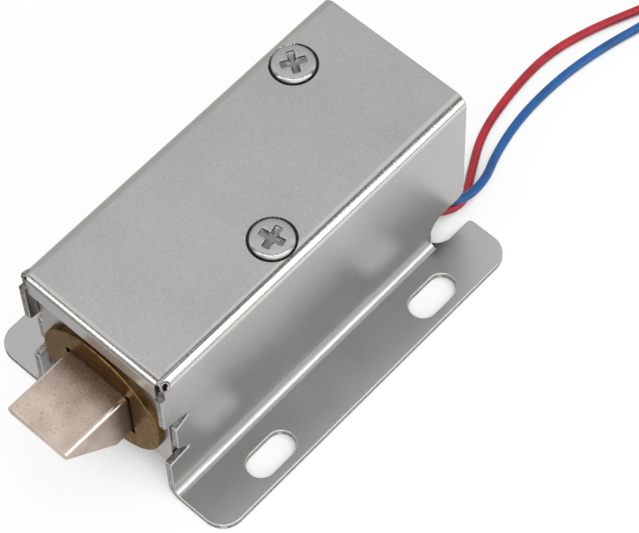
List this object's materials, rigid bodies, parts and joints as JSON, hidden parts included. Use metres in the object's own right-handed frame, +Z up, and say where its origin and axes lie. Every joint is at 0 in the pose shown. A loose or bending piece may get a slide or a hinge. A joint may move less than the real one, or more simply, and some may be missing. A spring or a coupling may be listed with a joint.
{
  "type": "solenoid lock",
  "caption": "Electric solenoid lock: folded steel case with slotted mounting flanges, spring-loaded bevelled bolt in a brass guide bush, and two lead wires.",
  "frame": {"origin": "Centre of the four mounting slots, on the underside of the flanges.", "axes": "+X is the way the bolt points, +Y is across the body to the lead side's right flange, +Z is up from the mounting surface."},
  "size_m": [0.12, 0.0463, 0.028],
  "materials": {
    "nickel_plated_sheet": "satin nickel plate",
    "nickel_plated_screw": "bright nickel plate",
    "plated_frame_steel": "satin nickel plate",
    "bush_brass": "turned, lightly tarnished",
    "sintered_bolt": "matte nickel plate on sintered steel",
    "plated_plunger_steel": "turned and plated",
    "spring_steel": "drawn wire",
    "bobbin_nylon": "moulded",
    "enamelled_copper": "enamelled copper wire",
    "polyester_tape": "smooth film",
    "black_sleeve": "shrunk sleeve",
    "red_pvc": "semi-gloss insulation",
    "blue_pvc": "semi-gloss insulation",
    "white_tie_nylon": "moulded",
    "tinned_copper": "dipped in solder"
  },
  "bodies": {
    "lock_body": {"case": "nickel_plated_sheet", "front_cover_screw": "nickel_plated_screw", "rear_cover_screw": "nickel_plated_screw", "frame": "plated_frame_steel", "guide_bush": "bush_brass", "core": "plated_plunger_steel", "spring_washer": "spring_steel", "return_spring": "spring_steel", "pole_plate": "plated_frame_steel", "guide_tube": "bush_brass", "bobbin": "bobbin_nylon", "winding": "enamelled_copper", "coil_tape": "polyester_tape", "red_joint_sleeve": "black_sleeve", "red_lead": "red_pvc", "red_lead_coil": "red_pvc", "red_coil_tie": "white_tie_nylon", "red_tinned_end": "tinned_copper", "blue_joint_sleeve": "black_sleeve", "blue_lead": "blue_pvc", "blue_lead_coil": "blue_pvc", "blue_coil_tie": "white_tie_nylon", "blue_tinned_end": "tinned_copper"},
    "bolt_assembly": {"bolt": "sintered_bolt", "plunger": "plated_plunger_steel", "cross_pin": "plated_plunger_steel"}
  },
  "joints": [
    {"name": "bolt_slide", "type": "slide", "parent": "lock_body", "child": "bolt_assembly", "axis": [-1, 0, 0], "range_m": [0, 0.0095], "stiffness_N_per_m": 120, "springref_m": -0.008, "deforming": ["return_spring"]}
  ]
}
